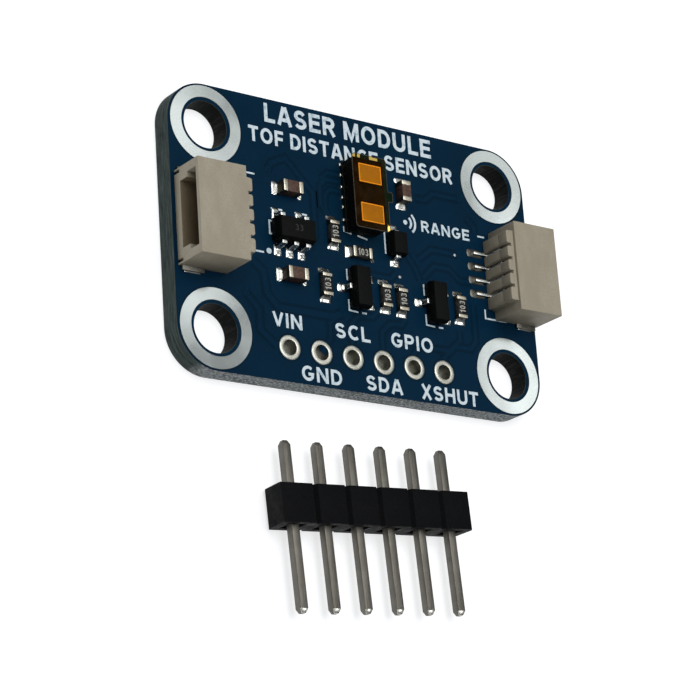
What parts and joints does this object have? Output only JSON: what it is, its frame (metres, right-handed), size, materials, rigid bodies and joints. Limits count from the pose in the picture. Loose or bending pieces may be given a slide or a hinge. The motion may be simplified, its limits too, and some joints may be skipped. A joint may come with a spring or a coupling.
{
  "type": "distance sensor module",
  "caption": "Small rounded circuit board with a time-of-flight distance sensor, wire sockets at both ends, corner mounting holes and a loose pin header strip.",
  "frame": {"origin": "centre of the board's underside, on the surface that the board and the loose header strip lie on", "axes": "+X along the board towards the right-hand socket, +Y across it towards the edge beside the sensor, +Z out of the component side"},
  "size_m": [0.0299, 0.0348, 0.0044],
  "materials": {
    "solder_mask": "semi-gloss solder mask over copper, on glass-fibre laminate",
    "tinned_metal": "tin plated copper alloy",
    "socket_plastic": "moulded, satin",
    "laminate": "package substrate",
    "sensor_plastic": "moulded, satin",
    "filter_glass": "polished amber filter",
    "silicon": "polished die",
    "liner_film": "clear amber film",
    "moulding_compound": "matt moulded epoxy",
    "capacitor_ceramic": "fired ceramic with tin plated ends",
    "resistor_ceramic": "glass coated film with tin plated ends",
    "header_plastic": "moulded, satin",
    "pin_metal": "nickel plated"
  },
  "bodies": {
    "board": {"circuit_board": "solder_mask", "header_hole_1": "tinned_metal", "header_hole_2": "tinned_metal", "header_hole_3": "tinned_metal", "header_hole_4": "tinned_metal", "header_hole_5": "tinned_metal", "header_hole_6": "tinned_metal", "left_socket_housing": "socket_plastic", "left_socket_contact_1": "tinned_metal", "left_socket_contact_2": "tinned_metal", "left_socket_contact_3": "tinned_metal", "left_socket_contact_4": "tinned_metal", "left_socket_hold_down_1": "tinned_metal", "left_socket_hold_down_2": "tinned_metal", "right_socket_housing": "socket_plastic", "right_socket_contact_1": "tinned_metal", "right_socket_contact_2": "tinned_metal", "right_socket_contact_3": "tinned_metal", "right_socket_contact_4": "tinned_metal", "right_socket_hold_down_1": "tinned_metal", "right_socket_hold_down_2": "tinned_metal", "sensor_base": "laminate", "sensor_cap": "sensor_plastic", "emitter_window": "filter_glass", "receiver_window": "filter_glass", "emitter_die": "silicon", "receiver_die": "silicon", "regulator_body": "moulding_compound", "regulator_lead_1": "tinned_metal", "regulator_lead_2": "tinned_metal", "regulator_lead_3": "tinned_metal", "regulator_lead_4": "tinned_metal", "regulator_lead_5": "tinned_metal", "mosfet_1_body": "moulding_compound", "mosfet_1_lead_1": "tinned_metal", "mosfet_1_lead_2": "tinned_metal", "mosfet_1_lead_3": "tinned_metal", "mosfet_2_body": "moulding_compound", "mosfet_2_lead_1": "tinned_metal", "mosfet_2_lead_2": "tinned_metal", "mosfet_2_lead_3": "tinned_metal", "diode": "moulding_compound", "input_capacitor": "capacitor_ceramic", "output_capacitor": "capacitor_ceramic", "sensor_capacitor": "capacitor_ceramic", "resistor_1": "resistor_ceramic", "resistor_2": "resistor_ceramic", "resistor_3": "resistor_ceramic", "resistor_4": "resistor_ceramic", "resistor_5": "resistor_ceramic", "resistor_6": "resistor_ceramic"},
    "pin_header": {"header_body": "header_plastic", "header_pin_1": "pin_metal", "header_pin_2": "pin_metal", "header_pin_3": "pin_metal", "header_pin_4": "pin_metal", "header_pin_5": "pin_metal", "header_pin_6": "pin_metal"},
    "liner": {"liner_film": "liner_film"}
  },
  "joints": [
    {"name": "header_lift", "type": "slide", "parent": "board", "child": "pin_header", "axis": [0, 0, 1], "range_m": [0, 0.015]},
    {"name": "liner_lift", "type": "slide", "parent": "board", "child": "liner", "axis": [0, 0, 1], "range_m": [0, 0.01]}
  ]
}
